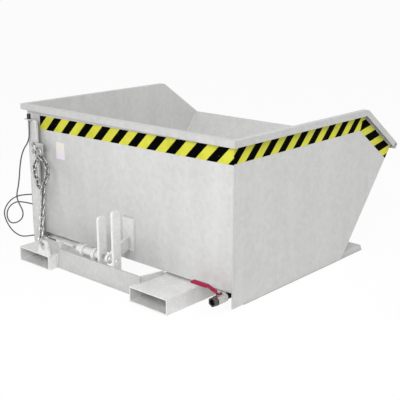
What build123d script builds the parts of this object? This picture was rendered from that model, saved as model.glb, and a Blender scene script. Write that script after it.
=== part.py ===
from build123d import *
import math
import os

os.makedirs("parts", exist_ok=True)

# A tipping hopper on a fork-pocket base. Sizes are millimetres.
# X runs from the rear wall to the pouring lip, Y to the hopper's left, Z up from the ground.
# While the pieces are made, X = 0 is the outer face of the rear wall.

# Hopper
hopper_width = 1200.0
sheet = 4.0
rim_top = 650.0
rim_depth = 26.0
rim_reach = 20.0
level_length = 870.0
peak_radius = 30.0
lip_x = 1124.0
lip_z = 473.0
front_lean = 39.5
floor_top = 75.0
skirt_gap = 8.0
tape_width = 60.0
tape_drop = 3.0
rear_tape_drop_right = 6.0
rear_tape_drop_left = 18.0
rear_tape_lap = 12.0
tape_thickness = 0.5
label_width = 56.0
label_height = 74.0
label_inset = 224.0
label_drop = 158.0

# Base frame
pocket_reach = 190.0
pocket_width = 200.0
pocket_height = 63.0
pocket_wall = 5.0
pocket_inset = 253.0
frame_front = 924.0
rail_width = 52.0
rail_height = 28.0
rail_gap = 4.0
rail_nose = 14.0
rail_start = 80.0
tie_width = 40.0
rear_tie_x = 120.0
cross_plate_x = -142.0
cross_plate_thickness = 10.0
cross_plate_height = 87.0
gusset_thickness = 8.0
gusset_low = 12.0
gusset_gap = 8.0
pad_length = 60.0
pad_width = 120.0
pad_places = (80.0, 620.0)

# Tipping pivot
pivot_x = 965.0
pivot_z = 215.0
pivot_inset = 200.0
pin_diameter = 25.0
pin_clearance = 0.05
pin_head_diameter = 38.0
pin_head = 6.0
pin_tail = 16.0
bracket_thickness = 12.0
bracket_radius = 30.0
bracket_base = (835.0, 915.0)
ear_thickness = 16.0
ear_radius = 28.0
ear_low_z = 120.0
ear_high_z = 330.0
ear_gap = 1.0
bush_wall = 5.0
cotter_diameter = 5.0
cotter_length = 44.0

# Latch
cheek_left_y = -7.0
cheek_right_y = -92.0
cheek_thickness = 12.0
cheek_depth = 40.0
cheek_corner = 12.5
cheek_low_z = 20.0
cheek_left_top = 274.0
cheek_right_top = 314.0
bolt_diameter = 20.0
bolt_z = 105.0
bolt_travel = 95.0
bolt_fit = 0.05
bolt_inset = 2.0
collar_length = 10.0
barrel_bore = 26.0
barrel_wall = 4.0
barrel_cap = 6.0
spring_pressed = 30.0
spring_wire = 3.0
spring_play = 1.0
lug_thickness = 16.0
lug_wall = 8.0
lug_inset = 32.0
tongue_thickness = 12.0
tongue_radius = 20.0
tongue_hole_play = 0.5
tongue_root_low = 120.0
tongue_root_high = 178.0
doubler_width = 64.0
doubler_height = 138.0
doubler_low_z = 114.0
doubler_thickness = 6.0
pull_wire = 4.0
wire_inset = 2.0
sleeve_diameter = 10.0
sleeve_play = 0.4
sleeve_length = 110.0
sleeve_reach = 38.0
sleeve_bracket_inset = 7.0
sleeve_bracket = 8.0

# Cable post and what hangs on it
post_x = -30.0
post_thickness = 8.0
post_inset = 103.0
post_width = 60.0
post_top = 589.0
post_corner = 10.0
foot_thickness = 8.0
foot_reach = 70.0
post_gusset_height = 40.0
cable_diameter = 6.0
cord_arc_share = 0.48
cable_straight = 40.0
clip_length = 6.0
clip_mouth = 5.2
clip_wall = 1.5
clip_play = 0.3
knob_diameter = 17.0
knob_length = 24.0
knob_seat = 4.0
knob_seat_width = 30.0
knob_x = -40.5
knob_inset = 66.0
knob_rounding = 4.5
# The cable's way, as X, the distance in from the hopper's left side, and Z
behind_post_x = -17.5
coil_x = -40.0
coil_over_x = -48.5
run_places = (
    (-102.0, 238.0, 101.0),
    (-84.0, 207.0, 95.0),
    (-54.0, 173.0, 86.0),
    (behind_post_x, 132.0, 72.0),
    (behind_post_x, 29.0, 45.0),
)
wide_turn_places = (
    (-38.0, -22.0, 31.0),
    (coil_x, -60.0, 27.5),
    (coil_x, -112.0, 38.0),
    (coil_x, -156.0, 72.0),
    (coil_x, -175.0, 112.0),
    (coil_x, -155.0, 152.0),
    (coil_x, -111.0, 192.0),
    (coil_x, -64.0, 217.0),
    (-38.0, -22.0, 231.0),
    (behind_post_x, 29.0, 239.5),
)
back_turn_inset = 64.0
back_turn_z = 216.5
back_turn_radius = 25.0
back_turn_corners = 4
inner_turn_places = (
    (behind_post_x, 29.0, 193.5),
    (-38.0, -22.0, 198.0),
    (coil_x, -64.0, 191.5),
    (coil_x, -112.0, 168.0),
    (coil_x, -145.0, 134.0),
    (coil_x, -152.0, 100.0),
    (coil_x, -130.0, 76.0),
    (coil_x, -90.0, 82.0),
    (-42.0, -48.0, 102.0),
    (-45.0, -17.0, 128.0),
    (-48.0, -9.0, 158.0),
    (coil_over_x, -28.0, 182.0),
    (coil_over_x, -48.0, 206.0),
    (coil_over_x, -48.0, 238.0),
)
riser_places = (
    (-48.0, -34.0, 270.0),
    (-47.5, -22.0, 318.0),
    (-46.5, -14.0, 366.0),
    (-45.0, -2.0, 412.0),
    (-43.5, 18.0, 452.0),
    (-42.0, 49.0, 484.0),
    (-41.0, 63.0, 516.0),
    (knob_x, knob_inset, 558.0),
)

# Safety chain
chain_wire = 8.0
chain_inner_length = 24.0
chain_inner_width = 12.0
chain_play = 0.3
link_play = 0.5
bow_power = 1.5
chain_end_play = 1.0
lug_play = 1.3
ring_main_turn = 52.0
ring_return_turn = 0.0
hook_plate_width = 70.0
hook_plate_height = 50.0
hook_plate_thickness = 8.0
hook_inset = 133.0
hook_z = 466.0
hook_wire = 10.0
hook_reach = 30.0
hook_rise = 24.0
hook_bend = 12.0
ring_radius = 24.0
ring_wire = 9.0
chain_lug_inset = 66.0
lug_width = 80.0
lug_plate = 10.0
lug_hole = 30.0
lug_hole_rise = 37.0
lug_crown = 28.0
lug_link_wire = 9.0
lug_link_length = 30.0
lug_link_width = 22.0
# Where the chain's two upper strands part, as X, the distance in from the hopper's left side, and Z
chain_join = (-103.0, 228.0, 321.0)
settling_rounds = 4
snap_wire = 6.0
snap_inner_length = 44.0
snap_inner_width = 22.0
snap_gate_length = 20.0
snap_gate_play = 0.3
snap_tip_play = 0.9
snap_link_count = 8
snap_lean = 50.0

# Drain valve
valve_inset = 25.0
valve_bore = 20.0
pipe_wall = 3.0
pipe_drop = 2.0
elbow_x = 34.0
elbow_flange_radius = 19.0
elbow_flange = 5.0
valve_start = -14.0
valve_flats = 34.0
valve_hex = 14.0
valve_barrel = 38.0
valve_barrel_radius = 19.0
valve_cap_hex = 18.0
ball_radius = 15.0
ball_seat_play = 0.3
seat_thickness = 4.5
cavity_wall = 2.8
cavity_play = 0.1
outlet_diameter = 24.0
outlet_depth = 12.0
tang_width = 5.0
tang_depth = 3.0
stem_diameter = 10.0
stem_fit = 0.05
neck_radius = 11.0
neck_rise = 20.5
gland_flats = 19.0
gland_height = 3.5
lever_gap = 0.5
lever_width = 18.0
lever_thickness = 4.0
lever_flat = 14.0
lever_crank = 34.0
lever_rise = 11.5
lever_length = 130.0
lever_heel = 9.0
stem_end = 1.0
grip_length = 78.0
grip_skin = 2.5
grip_rounding = 0.9
nut_flats = 13.0
nut_height = 6.0
sieve_size = 70.0
sieve_thickness = 2.0
sieve_hole = 6.0
sieve_rows = 5

# Places that follow from the sizes
half_width = hopper_width / 2
inner_half = half_width - sheet
floor_under = floor_top - sheet
lean = math.radians(front_lean)
pocket_y = half_width - pocket_inset
pocket_inner_y = pocket_y - pocket_width / 2
pocket_outer_y = pocket_y + pocket_width / 2
rail_outer_y = inner_half - rail_gap
rail_inner_y = rail_outer_y - rail_width
plate_front = cross_plate_x + cross_plate_thickness
bolt_x = plate_front + cheek_depth / 2
post_right_y = half_width - post_inset
post_left_y = post_right_y + post_width
pivot_y = half_width - pivot_inset
label_y = half_width - label_inset
sleeve_end_y = pocket_inner_y + sleeve_reach
sleeve_start_y = sleeve_end_y - sleeve_length
sleeve_bracket_y = pocket_inner_y - sleeve_bracket_inset
knob_y = half_width - knob_inset
hook_y = half_width - hook_inset
lug_y = pocket_y - chain_lug_inset
valve_y = valve_inset - half_width
lip_front = lip_x + rim_reach * math.cos(lean)
rear_reach = pocket_reach - lug_plate / 2 + lug_link_width / 2 + lug_link_wire
origin_x = (lip_front - rear_reach) / 2


def front_x(z):
    """X of the front wall's outer face at height z."""
    return lip_x - (lip_z - z) * math.tan(lean)


def box(x0, x1, y0, y1, z0, z1):
    """A block between two opposite corners."""
    return Pos((x0 + x1) / 2, (y0 + y1) / 2, (z0 + z1) / 2) * Box(x1 - x0, y1 - y0, z1 - z0)


def plate_xz(outline, y0, y1):
    """A plate with its outline in X and Z, from y0 to y1."""
    wire = Polyline(*[(x, y0, z) for x, z in outline], close=True)
    return extrude(make_face(wire), amount=y1 - y0, dir=(0, 1, 0))


def plate_yz(outline, x0, x1):
    """A plate with its outline in Y and Z, from x0 to x1."""
    wire = Polyline(*[(x0, y, z) for y, z in outline], close=True)
    return extrude(make_face(wire), amount=x1 - x0, dir=(1, 0, 0))


def rod(start, end, radius):
    """A round bar between two points."""
    start = Vector(*start)
    along = Vector(*end) - start
    return extrude(Plane(origin=start, z_dir=along) * Circle(radius), amount=along.length)


def hexagon(start, end, flats):
    """A hexagonal bar between two points, by its width across the flats."""
    start = Vector(*start)
    along = Vector(*end) - start
    section = RegularPolygon(flats / 2, 6, major_radius=False)
    return extrude(Plane(origin=start, z_dir=along) * section, amount=along.length)


def pair(make):
    """The same solid made for the left side (+1) and the right side (-1)."""
    return Compound(children=[make(1), make(-1)])


nodes = {}


def keep(name, shape):
    """Keeps one named piece."""
    nodes[name] = shape


# Hopper walls
peak = (level_length, rim_top)
tip = (lip_x, lip_z)
slope_angle = math.atan2(rim_top - lip_z, lip_x - level_length)


def rim_line(depth):
    """The side wall's top edge moved into the wall by a depth: its rear end, its peak and its lip end."""
    peak_shift = depth * math.tan(slope_angle / 2)
    corner = (level_length - peak_shift, rim_top - depth)
    fall = math.tan(slope_angle)
    drop_at_lip = depth / math.cos(slope_angle)
    meet = drop_at_lip / (1 / math.tan(lean) + fall)
    end_x = lip_x - meet
    end_z = lip_z - meet / math.tan(lean)
    return corner, (end_x, end_z)


def side_face(outline, corner, radius, y):
    """A flat face in X and Z whose peak is rounded."""
    wire = Polyline(*[(x, y, z) for x, z in outline], close=True)
    face = make_face(wire).face()
    if radius <= 0:
        return face
    vertex = face.vertices().sort_by_distance((corner[0], y, corner[1]))[0]
    return face.fillet_2d(radius, [vertex])


def side_band(start_depth, end_depth, start_x, y0, y1):
    """A band along the side wall's top edge between two depths, with the peak rounded."""
    solids = []
    for depth in (start_depth, end_depth):
        corner, end = rim_line(depth)
        below = rim_top - depth
        floor = skirt_gap
        outline = [(start_x, floor), (front_x(floor), floor), end, corner, (start_x, below)]
        face = side_face(outline, corner, max(peak_radius - depth, 0), y0)
        solids.append(extrude(face, amount=y1 - y0, dir=(0, 1, 0)))
    return solids[0] - solids[1]


def side_wall(side):
    """One side wall, which goes on below the floor as a skirt."""
    outline = [(0, skirt_gap), (front_x(skirt_gap), skirt_gap), tip, peak, (0, rim_top)]
    y0 = min(side * inner_half, side * half_width)
    return extrude(side_face(outline, peak, peak_radius, y0), amount=sheet, dir=(0, 1, 0))


def side_rim(side):
    """A folded rim along a side: a top flange and an outer lip, open below."""
    y0 = min(side * half_width, side * (half_width + rim_reach))
    outer = side_band(0, rim_depth, 0, y0, y0 + rim_reach)
    hollow_start = y0 if side > 0 else y0 + sheet
    hollow = side_band(sheet, rim_depth, 0, hollow_start, hollow_start + rim_reach - sheet)
    return outer - hollow


def side_tape(side):
    """The striped tape below a side's rim."""
    face = half_width + tape_thickness
    y0 = half_width if side > 0 else -face
    top = rim_depth + tape_drop
    return side_band(top, top + tape_width, 0, y0, y0 + tape_thickness)


def front_strip(z_low, z_high, near, far, y0, y1):
    """A bar along the front wall between two heights of its outer face and two distances from it."""
    out = Vector(math.cos(lean), 0, -math.sin(lean))
    low = Vector(front_x(z_low), 0, z_low)
    high = Vector(front_x(z_high), 0, z_high)
    corners = [low + out * near, low + out * far, high + out * far, high + out * near]
    return plate_xz([(corner.X, corner.Z) for corner in corners], y0, y1)


keep("side_wall_left", side_wall(1))
keep("side_wall_right", side_wall(-1))
keep("rear_wall", box(0, sheet, -inner_half, inner_half, floor_under, rim_top))

front_run = sheet / math.cos(lean)
drain_hole = rod((elbow_x, valve_y, floor_under), (elbow_x, valve_y, floor_top), valve_bore / 2)
floor_outline = [
    (sheet, floor_under),
    (front_x(floor_under) - front_run, floor_under),
    (front_x(floor_top) - front_run, floor_top),
    (sheet, floor_top),
]
keep("floor_plate", plate_xz(floor_outline, -inner_half, inner_half) - drain_hole)
front_outline = [
    (front_x(floor_under), floor_under),
    (lip_x, lip_z),
    (lip_x - front_run, lip_z),
    (front_x(floor_under) - front_run, floor_under),
]
keep("front_wall", plate_xz(front_outline, -inner_half, inner_half))

# Folded rims
rim_half = half_width + rim_reach
rim_low = rim_top - rim_depth
rear_block = box(-rim_reach, 0, -rim_half, rim_half, rim_low, rim_top)
rear_hollow = box(-rim_reach + sheet, 0, -rim_half + sheet, rim_half - sheet, rim_low, rim_top - sheet)
keep("rim_rear", rear_block - rear_hollow)
keep("rim_left", side_rim(1))
keep("rim_right", side_rim(-1))
rim_fall = rim_depth * math.cos(lean)
flange_fall = sheet * math.cos(lean)
lip_block = front_strip(lip_z - rim_fall, lip_z, 0, rim_reach, -rim_half, rim_half)
lip_hollow_top = lip_z - flange_fall
lip_hollow = front_strip(lip_z - rim_fall, lip_hollow_top, 0, rim_reach - sheet, -rim_half, rim_half)
keep("rim_lip", lip_block - lip_hollow)

# Striped tape and a bare label
tape_start = post_right_y + rear_tape_lap
tape_end = -half_width - tape_thickness
tape_top_right = rim_low - rear_tape_drop_right
tape_top_left = rim_low - rear_tape_drop_left
rear_tape_corners = [
    (-tape_thickness, tape_end, tape_top_right - tape_width),
    (-tape_thickness, tape_start, tape_top_left - tape_width),
    (-tape_thickness, tape_start, tape_top_left),
    (-tape_thickness, tape_end, tape_top_right),
]
rear_tape_face = make_face(Polyline(*rear_tape_corners, close=True))
keep("hazard_tape_rear", extrude(rear_tape_face, amount=tape_thickness, dir=(1, 0, 0)))
keep("hazard_tape_left", side_tape(1))
keep("hazard_tape_right", side_tape(-1))
label_z = rim_low - label_drop
label_box = box(
    -tape_thickness,
    0,
    label_y - label_width / 2,
    label_y + label_width / 2,
    label_z - label_height / 2,
    label_z + label_height / 2,
)
keep("blank_label", label_box)

# Fork pockets and the bars between them


def fork_pocket(side):
    """One fork pocket, open at both ends."""
    y0 = side * pocket_y - pocket_width / 2
    y1 = side * pocket_y + pocket_width / 2
    wall = pocket_wall
    outer = box(-pocket_reach, frame_front, y0, y1, 0, pocket_height)
    return outer - box(-pocket_reach, frame_front, y0 + wall, y1 - wall, wall, pocket_height - wall)


def side_rail(side):
    """A flat side rail whose nose slopes at the front."""
    y0 = min(side * rail_inner_y, side * rail_outer_y)
    nose = frame_front - rail_nose
    outline = [(rail_start, 0), (frame_front, 0), (nose, rail_height), (rail_start, rail_height)]
    return plate_xz(outline, y0, y0 + rail_width)


def tie(side, x):
    """A bar from a pocket to the side rail."""
    y0 = min(side * pocket_outer_y, side * rail_inner_y)
    y1 = max(side * pocket_outer_y, side * rail_inner_y)
    return box(x, x + tie_width, y0, y1, 0, rail_height)


def pocket_gusset(side):
    """A tapered rib on a pocket's inner edge, from the cross plate to just short of the rear wall."""
    y0 = min(side * pocket_inner_y, side * (pocket_inner_y + gusset_thickness))
    high = cross_plate_height
    outline = [
        (plate_front, pocket_height),
        (-gusset_gap, pocket_height),
        (-gusset_gap, pocket_height + gusset_low),
        (plate_front, high),
    ]
    return plate_xz(outline, y0, y0 + gusset_thickness)


keep("fork_pocket_left", fork_pocket(1))
keep("fork_pocket_right", fork_pocket(-1))
keep("side_rail_left", side_rail(1))
keep("side_rail_right", side_rail(-1))
tie_front_x = frame_front - rail_nose - tie_width
ties = [tie(side, x) for side in (1, -1) for x in (rear_tie_x, tie_front_x)]
keep("rail_ties", Compound(children=ties))
tie_front_end = tie_front_x + tie_width
front_bar = box(tie_front_x, tie_front_end, -pocket_inner_y, pocket_inner_y, 0, rail_height)
keep("front_cross_bar", front_bar)
keep("pocket_gussets", pair(pocket_gusset))
plate_low = box(cross_plate_x, plate_front, -pocket_inner_y, pocket_inner_y, 0, pocket_height)
ledge_y = pocket_inner_y + gusset_thickness
plate_high = box(cross_plate_x, plate_front, -ledge_y, ledge_y, pocket_height, cross_plate_height)
keep("rear_cross_plate", plate_low + plate_high)

pads = []
for pad_x in pad_places:
    for side in (1, -1):
        pad_y0 = side * pocket_y - pad_width / 2
        pads.append(box(pad_x, pad_x + pad_length, pad_y0, pad_y0 + pad_width, pocket_height, floor_under))
keep("rest_pads", Compound(children=pads))

# Tipping pivots at the front of the base
pin_radius = pin_diameter / 2
bore_radius = pin_radius + pin_clearance
bracket_inner = ear_thickness / 2 + ear_gap
bracket_outer = bracket_inner + bracket_thickness
along_wall = Vector(math.sin(lean), 0, math.cos(lean))


def pivot_rod(side, inner, outer, radius):
    """A round bar on the pivot's axis between two distances from the ear's middle, away from the centre."""
    start = (pivot_x, side * (pivot_y + inner), pivot_z)
    return rod(start, (pivot_x, side * (pivot_y + outer), pivot_z), radius)


def pivot_bracket(side, inner, outer):
    """One upright plate of a pivot, standing on the pocket."""
    base_mid = (bracket_base[0] + bracket_base[1]) / 2
    lift = Vector(pivot_x - base_mid, 0, pivot_z - pocket_height).normalized()
    across = Vector(lift.Z, 0, -lift.X) * bracket_radius
    outline = [
        (bracket_base[0], pocket_height),
        (bracket_base[1], pocket_height),
        (pivot_x + across.X, pivot_z + across.Z),
        (pivot_x - across.X, pivot_z - across.Z),
    ]
    y0 = min(side * (pivot_y + inner), side * (pivot_y + outer))
    plate = plate_xz(outline, y0, y0 + bracket_thickness) + pivot_rod(side, inner, outer, bracket_radius)
    return plate - pivot_rod(side, inner, outer, bore_radius)


def pivot_ear(side):
    """The hopper's ear, welded to the front wall, with a bore for its bush."""
    outline = [
        (front_x(ear_low_z), ear_low_z),
        (pivot_x - along_wall.X * ear_radius, pivot_z - along_wall.Z * ear_radius),
        (pivot_x + along_wall.X * ear_radius, pivot_z + along_wall.Z * ear_radius),
        (front_x(ear_high_z), ear_high_z),
    ]
    y0 = side * pivot_y - ear_thickness / 2
    half = ear_thickness / 2
    plate = plate_xz(outline, y0, y0 + ear_thickness) + pivot_rod(side, -half, half, ear_radius)
    return plate - pivot_rod(side, -half, half, bore_radius + bush_wall)


def pivot_bush(side):
    """The bush pressed into the ear."""
    half = ear_thickness / 2
    return pivot_rod(side, -half, half, bore_radius + bush_wall) - pivot_rod(side, -half, half, bore_radius)


def pivot_pin(side):
    """The pin, with its head on the inner side and a cross hole at its outer end."""
    head = pivot_rod(side, -bracket_outer - pin_head, -bracket_outer, pin_head_diameter / 2)
    shank = pivot_rod(side, -bracket_outer, bracket_outer + pin_tail, pin_radius)
    return head + shank - cotter(side)


def cotter(side):
    """The split pin across the end of a pivot pin."""
    y = side * (pivot_y + bracket_outer + pin_tail / 2)
    half = cotter_length / 2
    return rod((pivot_x, y, pivot_z - half), (pivot_x, y, pivot_z + half), cotter_diameter / 2)


brackets = []
for side in (1, -1):
    brackets.append(pivot_bracket(side, bracket_inner, bracket_outer))
    brackets.append(pivot_bracket(side, -bracket_outer, -bracket_inner))
keep("pivot_brackets", Compound(children=brackets))
keep("pivot_ears", pair(pivot_ear))
keep("pivot_bushes", pair(pivot_bush))
keep("pivot_pins", pair(pivot_pin))
keep("pin_cotters", pair(cotter))

# Latch: a spring bolt on the base that locks the hopper's tongue between two cheeks
bolt_radius = bolt_diameter / 2
cheek_left_face = cheek_left_y + cheek_thickness / 2
barrel_start = cheek_left_face
collar_end = barrel_start + bolt_travel + collar_length
barrel_end = collar_end + spring_pressed
barrel_outer = barrel_bore / 2 + barrel_wall
tongue_y = (cheek_left_y + cheek_right_y) / 2


def bolt_axis(y0, y1, radius):
    """A round bar on the bolt's axis."""
    return rod((bolt_x, y0, bolt_z), (bolt_x, y1, bolt_z), radius)


def cheek(y, top):
    """One upright cheek, which guides the tongue and takes the bolt."""
    y0 = y - cheek_thickness / 2
    y1 = y + cheek_thickness / 2
    plate = box(plate_front, plate_front + cheek_depth, y0, y1, cheek_low_z, top)
    top_edges = plate.edges().filter_by(Axis.Y).group_by(Axis.Z)[-1]
    plate = fillet(top_edges, cheek_corner)
    return plate - bolt_axis(y0, y1, bolt_radius + bolt_fit)


def barrel_lug(y):
    """An arched lug that carries the barrel on the cross plate."""
    y0 = y - lug_thickness / 2
    y1 = y + lug_thickness / 2
    radius = barrel_outer + lug_wall
    block = box(plate_front, bolt_x + radius, y0, y1, cheek_low_z, bolt_z)
    return block + bolt_axis(y0, y1, radius) - bolt_axis(y0, y1, barrel_outer)


cheeks = [cheek(cheek_left_y, cheek_left_top), cheek(cheek_right_y, cheek_right_top)]
keep("latch_cheeks", Compound(children=cheeks))
barrel = bolt_axis(barrel_start, barrel_end, barrel_outer)
barrel = barrel - bolt_axis(barrel_start, barrel_end, barrel_bore / 2)
lug_places = (barrel_start + lug_inset, barrel_end - lug_inset)
keep("barrel_lugs", Compound(children=[barrel_lug(y) for y in lug_places]))
wire_hole = pull_wire / 2 + sleeve_play
cap_end = barrel_end + barrel_cap
cap = bolt_axis(barrel_end, cap_end, barrel_outer) - bolt_axis(barrel_end, cap_end, wire_hole)
keep("latch_barrel", barrel + cap)
spring_outer = barrel_bore / 2 - spring_play
spring_inner = spring_outer - spring_wire
spring = bolt_axis(collar_end, barrel_end, spring_outer) - bolt_axis(collar_end, barrel_end, spring_inner)
keep("latch_spring", spring)
bolt_tip = cheek_left_y - cheek_thickness / 2 + bolt_inset
bolt_shank = bolt_axis(bolt_tip, collar_end, bolt_radius)
bolt_collar = bolt_axis(collar_end - collar_length, collar_end, barrel_bore / 2 - bolt_fit)
keep("latch_bolt", bolt_shank + bolt_collar)
keep("pull_wire", bolt_axis(collar_end, sleeve_end_y - wire_inset, pull_wire / 2))
sleeve_outer = sleeve_diameter / 2
sleeve = bolt_axis(sleeve_start_y, sleeve_end_y, sleeve_outer)
bracket_y0 = sleeve_bracket_y - sleeve_bracket / 2
bracket_y1 = sleeve_bracket_y + sleeve_bracket / 2
bracket_reach = bolt_x + sleeve_diameter
bracket_top = bolt_z + sleeve_diameter
bracket_block = box(plate_front, bracket_reach, bracket_y0, bracket_y1, cheek_low_z, bracket_top)
keep("cable_sleeve", sleeve + bracket_block - bolt_axis(sleeve_start_y, sleeve_end_y, wire_hole))

doubler_y0 = tongue_y - doubler_width / 2
doubler_y1 = tongue_y + doubler_width / 2
doubler_top = doubler_low_z + doubler_height
keep("tongue_doubler", box(-doubler_thickness, 0, doubler_y0, doubler_y1, doubler_low_z, doubler_top))
tongue_outline = [
    (-doubler_thickness, tongue_root_low),
    (-doubler_thickness, tongue_root_high),
    (bolt_x, bolt_z + tongue_radius),
    (bolt_x, bolt_z - tongue_radius),
]
tongue_y0 = tongue_y - tongue_thickness / 2
tongue_y1 = tongue_y + tongue_thickness / 2
tongue = plate_xz(tongue_outline, tongue_y0, tongue_y1) + bolt_axis(tongue_y0, tongue_y1, tongue_radius)
keep("catch_tongue", tongue - bolt_axis(tongue_y0, tongue_y1, bolt_radius + tongue_hole_play))

# Cable post at the rear left corner
post_front = post_x + post_thickness
post_box = box(post_x, post_front, post_right_y, post_left_y, foot_thickness, post_top)
post_top_edges = post_box.edges().filter_by(Axis.X).group_by(Axis.Z)[-1]
keep("cable_post", fillet(post_top_edges, post_corner))
foot = box(post_x - foot_reach, post_front, pocket_outer_y, post_left_y, 0, foot_thickness)
post_gusset_y = post_right_y + post_thickness / 2
gusset_outline = [
    (post_x - foot_reach, foot_thickness),
    (post_x, foot_thickness),
    (post_x, foot_thickness + post_gusset_height),
]
keep("post_foot", foot + plate_xz(gusset_outline, post_gusset_y, post_gusset_y + post_thickness))

# Release cable: a run from the latch, a loose coil and a riser to the pull knob
cable_radius = cable_diameter / 2


def beside(x, inset, z):
    """A point by its distance in from the hopper's left side."""
    return (x, half_width - inset, z)


def back_turn():
    """The corners of the half turn behind the post, which lie outside its circle."""
    step = math.pi / back_turn_corners
    reach = back_turn_radius / math.cos(step / 2)
    angles = [math.pi / 2 - step * (index + 0.5) for index in range(back_turn_corners)]
    insets = [back_turn_inset + reach * math.cos(angle) for angle in angles]
    heights = [back_turn_z + reach * math.sin(angle) for angle in angles]
    return [(behind_post_x, inset, z) for inset, z in zip(insets, heights)]


def corner_radii(points):
    """The largest arc at each corner: a share of the shorter run over the tangent of half the turn."""
    radii = []
    for before, here, after in zip(points, points[1:], points[2:]):
        arrive = Vector(*here) - Vector(*before)
        leave = Vector(*after) - Vector(*here)
        half_turn = math.radians(arrive.get_angle(leave)) / 2
        radii.append(cord_arc_share * min(arrive.length, leave.length) / math.tan(half_turn))
    return radii


def cord(name, points, radius):
    """A tube along straight runs and tangent arcs. Prints its radii, its length and its volume."""
    radii = corner_radii(points)
    path = FilletPolyline(*points, radius=radii)
    start = Vector(*points[0])
    section = Plane(origin=start, z_dir=Vector(*points[1]) - start) * Circle(radius)
    solid = sweep(section, path=path)
    share = solid.volume / (math.pi * radius**2 * path.length)
    print(name, "length", round(path.length, 1), "volume over section times length", round(share, 4))
    print(name, "radii", [round(value) for value in radii])
    keep(name, solid)
    return path


def middle(first, second):
    """The point halfway between two points."""
    return tuple((a + b) / 2 for a, b in zip(first, second))


coil_places = list(wide_turn_places) + back_turn() + list(inner_turn_places)
coil_points = [beside(*place) for place in coil_places]
sleeve_mouth = (bolt_x, sleeve_end_y, bolt_z)
run_straight = (bolt_x, sleeve_end_y + cable_straight, bolt_z)
run_points = [sleeve_mouth, run_straight] + [beside(*place) for place in run_places]
riser_points = [beside(*place) for place in riser_places]
knob_foot = (knob_x, knob_y, post_top + knob_seat)
run_end = middle(run_points[-1], coil_points[0])
coil_end = middle(coil_points[-1], riser_points[0])
cord("release_cable_run", run_points + [run_end], cable_radius)
coil_path = cord("release_cable_coil", [run_end] + coil_points + [coil_end], cable_radius)
cord("release_cable_riser", [coil_end] + riser_points + [knob_foot], cable_radius)

samples = int(coil_path.length / cable_diameter)
spots = [coil_path.position_at(index / samples) for index in range(samples + 1)]
apart = int(math.pi * back_turn_radius / cable_diameter)
gaps = []
for index, spot in enumerate(spots):
    for other in spots[index + apart:]:
        gaps.append((spot - other).length - cable_diameter)
print("release_cable_coil least gap to itself", round(min(gaps), 2))


def cable_clip(x, y, z):
    """A spring clip on the back of the post that holds the upright cable at x, y."""
    inside = cable_radius + clip_play
    outside = inside + clip_wall
    low = z - clip_length / 2
    high = z + clip_length / 2
    block = box(post_front, x, y - outside, y + outside, low, high)
    block = block + rod((x, y, low), (x, y, high), outside)
    block = block & box(post_front, x + outside, y - outside, y + outside, low, high)
    mouth = box(x, x + outside, y - clip_mouth / 2, y + clip_mouth / 2, low, high)
    return block - rod((x, y, low), (x, y, high), inside) - mouth


clip = cable_clip(*beside(behind_post_x, back_turn_inset + back_turn_radius, back_turn_z))
seat_half = knob_seat_width / 2
seat_reach = post_x - knob_x + knob_diameter / 2
seat = box(post_x - seat_reach, post_front, knob_y - seat_half, post_left_y, post_top, post_top + knob_seat)
hole = rod((knob_x, knob_y, post_top), knob_foot, cable_radius + clip_play)
keep("cable_holders", Compound(children=[clip, seat - hole]))
knob_top = knob_foot[2] + knob_length
knob = rod(knob_foot, (knob_x, knob_y, knob_top), knob_diameter / 2)
keep("pull_knob", fillet(knob.edges().filter_by(GeomType.CIRCLE), knob_rounding))

# Safety chain from the lug on the left pocket up to a hook on the post


def oblong(inner_length, inner_width, wire):
    """A chain link with its long axis on Z and its plane X and Z."""
    bend = (inner_width + wire) / 2
    half = (inner_length - inner_width) / 2
    path = Line((bend, 0, -half), (bend, 0, half))
    path = path + ThreePointArc((bend, 0, half), (0, 0, half + bend), (-bend, 0, half))
    path = path + Line((-bend, 0, half), (-bend, 0, -half))
    path = path + ThreePointArc((-bend, 0, -half), (0, 0, -half - bend), (bend, 0, -half))
    return sweep(Plane(origin=(bend, 0, -half), z_dir=(0, 0, 1)) * Circle(wire / 2), path=path)


def placed(shape, centre, along, normal):
    """Turns a link so that its long axis lies along one direction and its flat side faces another."""
    across = normal.cross(along).normalized()
    return Plane(origin=centre, x_dir=across, z_dir=along).location * shape


def bowed(start, end, bow, way, share):
    """A point on a curve that bows sideways between two points, most at three fifths of the way."""
    fullest = bow_power**bow_power / (1 + bow_power) ** (1 + bow_power)
    return start + (end - start) * share + way * (bow * share**bow_power * (1 - share) / fullest)


def bowed_points(start, end, bow, way, parts=2000):
    """Points along the bowed curve, with the length travelled to each."""
    spots = [bowed(start, end, bow, way, index / parts) for index in range(parts + 1)]
    travelled = [0.0]
    for first, second in zip(spots, spots[1:]):
        travelled.append(travelled[-1] + (second - first).length)
    return spots, travelled


def link_joints(start, end, count, way):
    """The points where links meet between two points, on a curve that bows enough to hold them all."""
    total = count * chain_pitch
    low, high = 0.0, total
    halvings = 30
    for _ in range(halvings):
        bow = (low + high) / 2
        spots, travelled = bowed_points(start, end, bow, way)
        if travelled[-1] < total:
            low = bow
        else:
            high = bow
    joints = [start]
    for spot, length in zip(spots, travelled):
        if length >= len(joints) * chain_pitch and len(joints) < count:
            joints.append(spot)
    return joints + [end]


def hang(first_seat, first_hold, last_seat, last_hold, way):
    """The joints of a strand between two bars; each end link reaches past its bar by its hold."""
    leave = (last_seat - first_seat).normalized()
    arrive = leave
    for _ in range(settling_rounds):
        start = first_seat - leave * first_hold
        end = last_seat + arrive * last_hold
        count = math.ceil((end - start).length / chain_pitch)
        joints = link_joints(start, end, count, way)
        leave = (joints[1] - joints[0]).normalized()
        arrive = (joints[-1] - joints[-2]).normalized()
    print("a strand of", count, "links")
    return joints


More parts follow.
